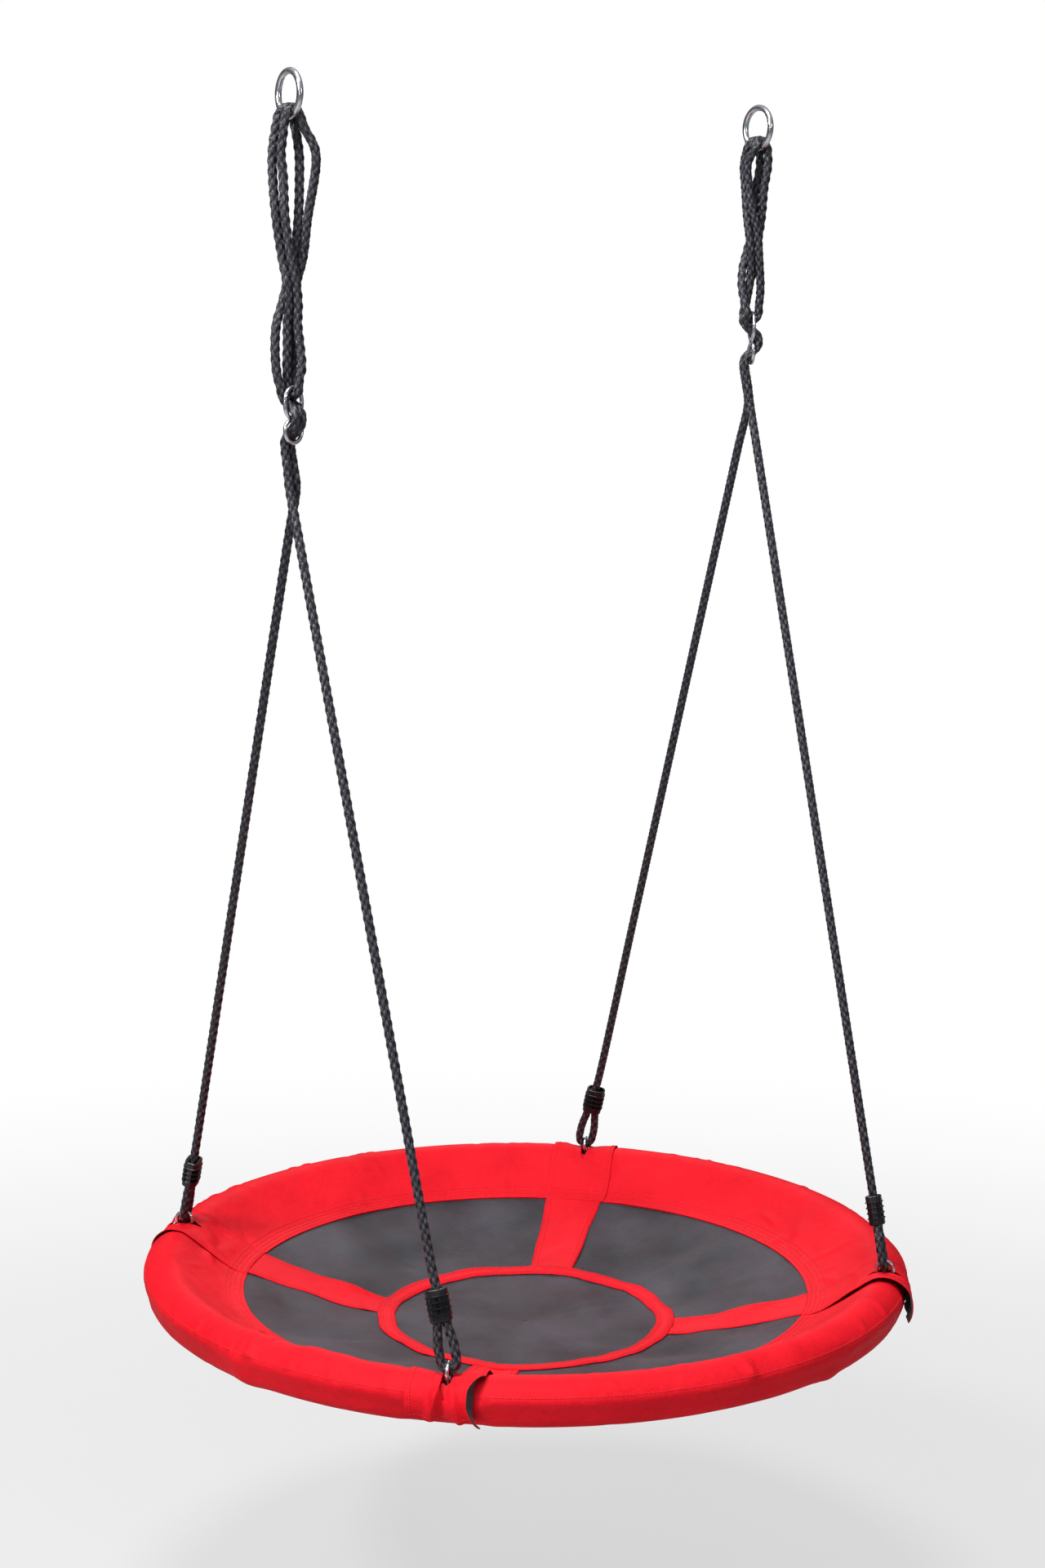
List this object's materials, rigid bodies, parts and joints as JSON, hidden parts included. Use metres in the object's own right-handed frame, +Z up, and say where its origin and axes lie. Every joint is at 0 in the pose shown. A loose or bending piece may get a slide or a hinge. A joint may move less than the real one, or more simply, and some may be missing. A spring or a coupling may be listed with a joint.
{
  "type": "saucer nest swing",
  "caption": "Round nest swing: a padded red fabric rim with a sagging grey mesh seat, hung by doubled black ropes with height adjusters from steel rings.",
  "frame": {"origin": "under the middle of the round nest, level with the lowest point of the mesh seat", "axes": "+Z up; +X from the left hanging ring to the right one, so the nest swings along Y; -Y is the side the front eye bolt is on"},
  "size_m": [0.996, 0.996, 1.593],
  "materials": {
    "zinc_steel": "bright zinc plated wire, polished",
    "bare_tube": "galvanised tube",
    "black_rope": "braided polyethylene, waxy sheen",
    "black_plastic": "moulded, satin",
    "red_cloth": "coated polyester plain weave, matte",
    "black_tape": "hook and loop tape",
    "grey_mesh": "coated yarn mesh, open twill weave",
    "grey_foam": "closed cell foam"
  },
  "bodies": {
    "hangers": {"hanging_ring_left": "zinc_steel", "hanging_ring_right": "zinc_steel"},
    "rope_turns": {"rope_turn_far_left": "black_rope", "rope_turn_near_left": "black_rope", "rope_turn_far_right": "black_rope", "rope_turn_near_right": "black_rope"},
    "left_ropes": {"height_adjuster_left": "zinc_steel", "rope_bight_left": "black_rope", "rope_leg_front": "black_rope", "rope_clip_outer_front": "black_plastic", "rope_clip_inner_front": "black_plastic", "rope_leg_left": "black_rope", "rope_clip_outer_left": "black_plastic", "rope_clip_inner_left": "black_plastic"},
    "right_ropes": {"height_adjuster_right": "zinc_steel", "rope_bight_right": "black_rope", "rope_leg_right": "black_rope", "rope_clip_outer_right": "black_plastic", "rope_clip_inner_right": "black_plastic", "rope_leg_back": "black_rope", "rope_clip_outer_back": "black_plastic", "rope_clip_inner_back": "black_plastic"},
    "nest": {"frame_tube_front": "bare_tube", "foam_sleeve_front": "grey_foam", "eye_bolt_front": "zinc_steel", "eye_washer_front": "zinc_steel", "eye_nut_front": "zinc_steel", "rim_flap_front": "red_cloth", "flap_tape_front": "black_tape", "seat_strap_front": "red_cloth", "frame_tube_left": "bare_tube", "foam_sleeve_left": "grey_foam", "eye_bolt_left": "zinc_steel", "eye_washer_left": "zinc_steel", "eye_nut_left": "zinc_steel", "rim_flap_left": "red_cloth", "flap_tape_left": "black_tape", "seat_strap_left": "red_cloth", "frame_tube_right": "bare_tube", "foam_sleeve_right": "grey_foam", "eye_bolt_right": "zinc_steel", "eye_washer_right": "zinc_steel", "eye_nut_right": "zinc_steel", "rim_flap_right": "red_cloth", "flap_tape_right": "black_tape", "seat_strap_right": "red_cloth", "frame_tube_back": "bare_tube", "foam_sleeve_back": "grey_foam", "eye_bolt_back": "zinc_steel", "eye_washer_back": "zinc_steel", "eye_nut_back": "zinc_steel", "rim_flap_back": "red_cloth", "flap_tape_back": "black_tape", "seat_strap_back": "red_cloth", "rim_cover": "red_cloth", "mesh_panel": "grey_mesh", "centre_binding": "red_cloth"}
  },
  "joints": [
    {"name": "swing", "type": "hinge", "parent": "hangers", "child": "rope_turns", "pos_m": [0, 0, 1.563], "axis": [1, 0, 0], "range_deg": [-45, 45]},
    {"name": "sway_left", "type": "hinge", "parent": "rope_turns", "child": "left_ropes", "pos_m": [-0.35, 0, 1.537], "axis": [0, 1, 0], "range_deg": [-10, 10]},
    {"name": "sway_right", "type": "hinge", "parent": "rope_turns", "child": "right_ropes", "pos_m": [0.35, 0, 1.537], "axis": [0, 1, 0], "range_deg": [-10, 10]},
    {"name": "nest_level", "type": "hinge", "parent": "left_ropes", "child": "nest", "pos_m": [-0.3308, 0, 0.1191], "axis": [0, 1, 0], "range_deg": [-12, 12]}
  ],
  "couplings": [
    {"joint": "sway_right", "follows": "sway_left", "ratio": 1},
    {"joint": "nest_level", "follows": "sway_left", "ratio": -1.058}
  ]
}
